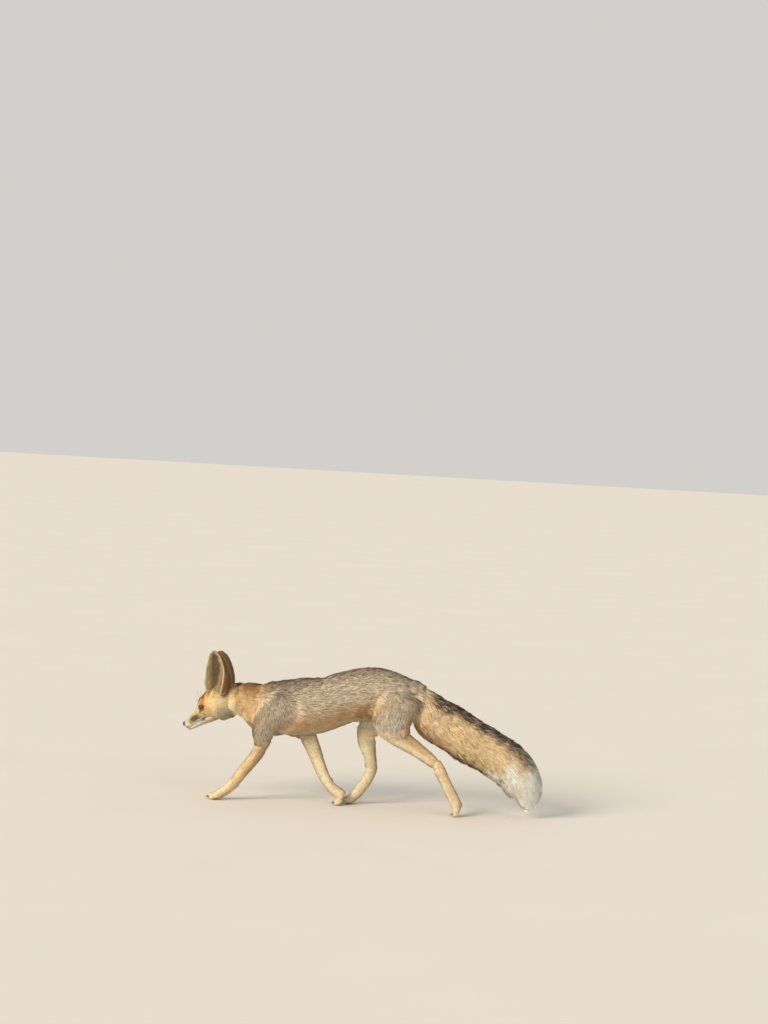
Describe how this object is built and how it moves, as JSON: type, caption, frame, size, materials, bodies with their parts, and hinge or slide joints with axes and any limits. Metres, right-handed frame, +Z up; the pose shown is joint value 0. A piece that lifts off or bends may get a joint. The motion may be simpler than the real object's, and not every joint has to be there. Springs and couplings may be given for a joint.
{
  "type": "sand fox",
  "caption": "Life-size still model of a slender desert fox in mid-stride, with tall ears and a long brush with a white tip.",
  "frame": {"origin": "middle of the bounding box, at the floor", "axes": "-X towards the nose, +Z up, -Y to the fox's left"},
  "size_m": [0.7228, 0.1208, 0.2959],
  "materials": {
    "fur": "soft dense fur: grizzled grey back, sandy flanks and face, cream legs, white tail tip",
    "nose_leather": "moist dark nose leather",
    "eye": "clear gloss over a brown iris",
    "claw": "dark horn"
  },
  "bodies": {
    "root": {"head": "fur", "lower_jaw": "fur", "nose": "nose_leather", "eye_left": "eye", "eye_right": "eye", "ear_left": "fur", "ear_right": "fur", "neck": "fur", "trunk": "fur", "tail_base": "fur", "tail_middle": "fur", "tail_tip": "fur", "foreleg_left_upper": "fur", "foreleg_left_lower": "fur", "foreleg_left_paw": "fur", "foreleg_left_claw_1": "claw", "foreleg_left_claw_2": "claw", "foreleg_left_claw_3": "claw", "foreleg_left_claw_4": "claw", "foreleg_right_upper": "fur", "foreleg_right_lower": "fur", "foreleg_right_paw": "fur", "foreleg_right_claw_1": "claw", "foreleg_right_claw_2": "claw", "foreleg_right_claw_3": "claw", "foreleg_right_claw_4": "claw", "hindleg_left_upper": "fur", "hindleg_left_lower": "fur", "hindleg_left_paw": "fur", "hindleg_left_claw_1": "claw", "hindleg_left_claw_2": "claw", "hindleg_left_claw_3": "claw", "hindleg_left_claw_4": "claw", "hindleg_right_upper": "fur", "hindleg_right_lower": "fur", "hindleg_right_paw": "fur", "hindleg_right_claw_1": "claw", "hindleg_right_claw_2": "claw", "hindleg_right_claw_3": "claw", "hindleg_right_claw_4": "claw"}
  },
  "joints": []
}
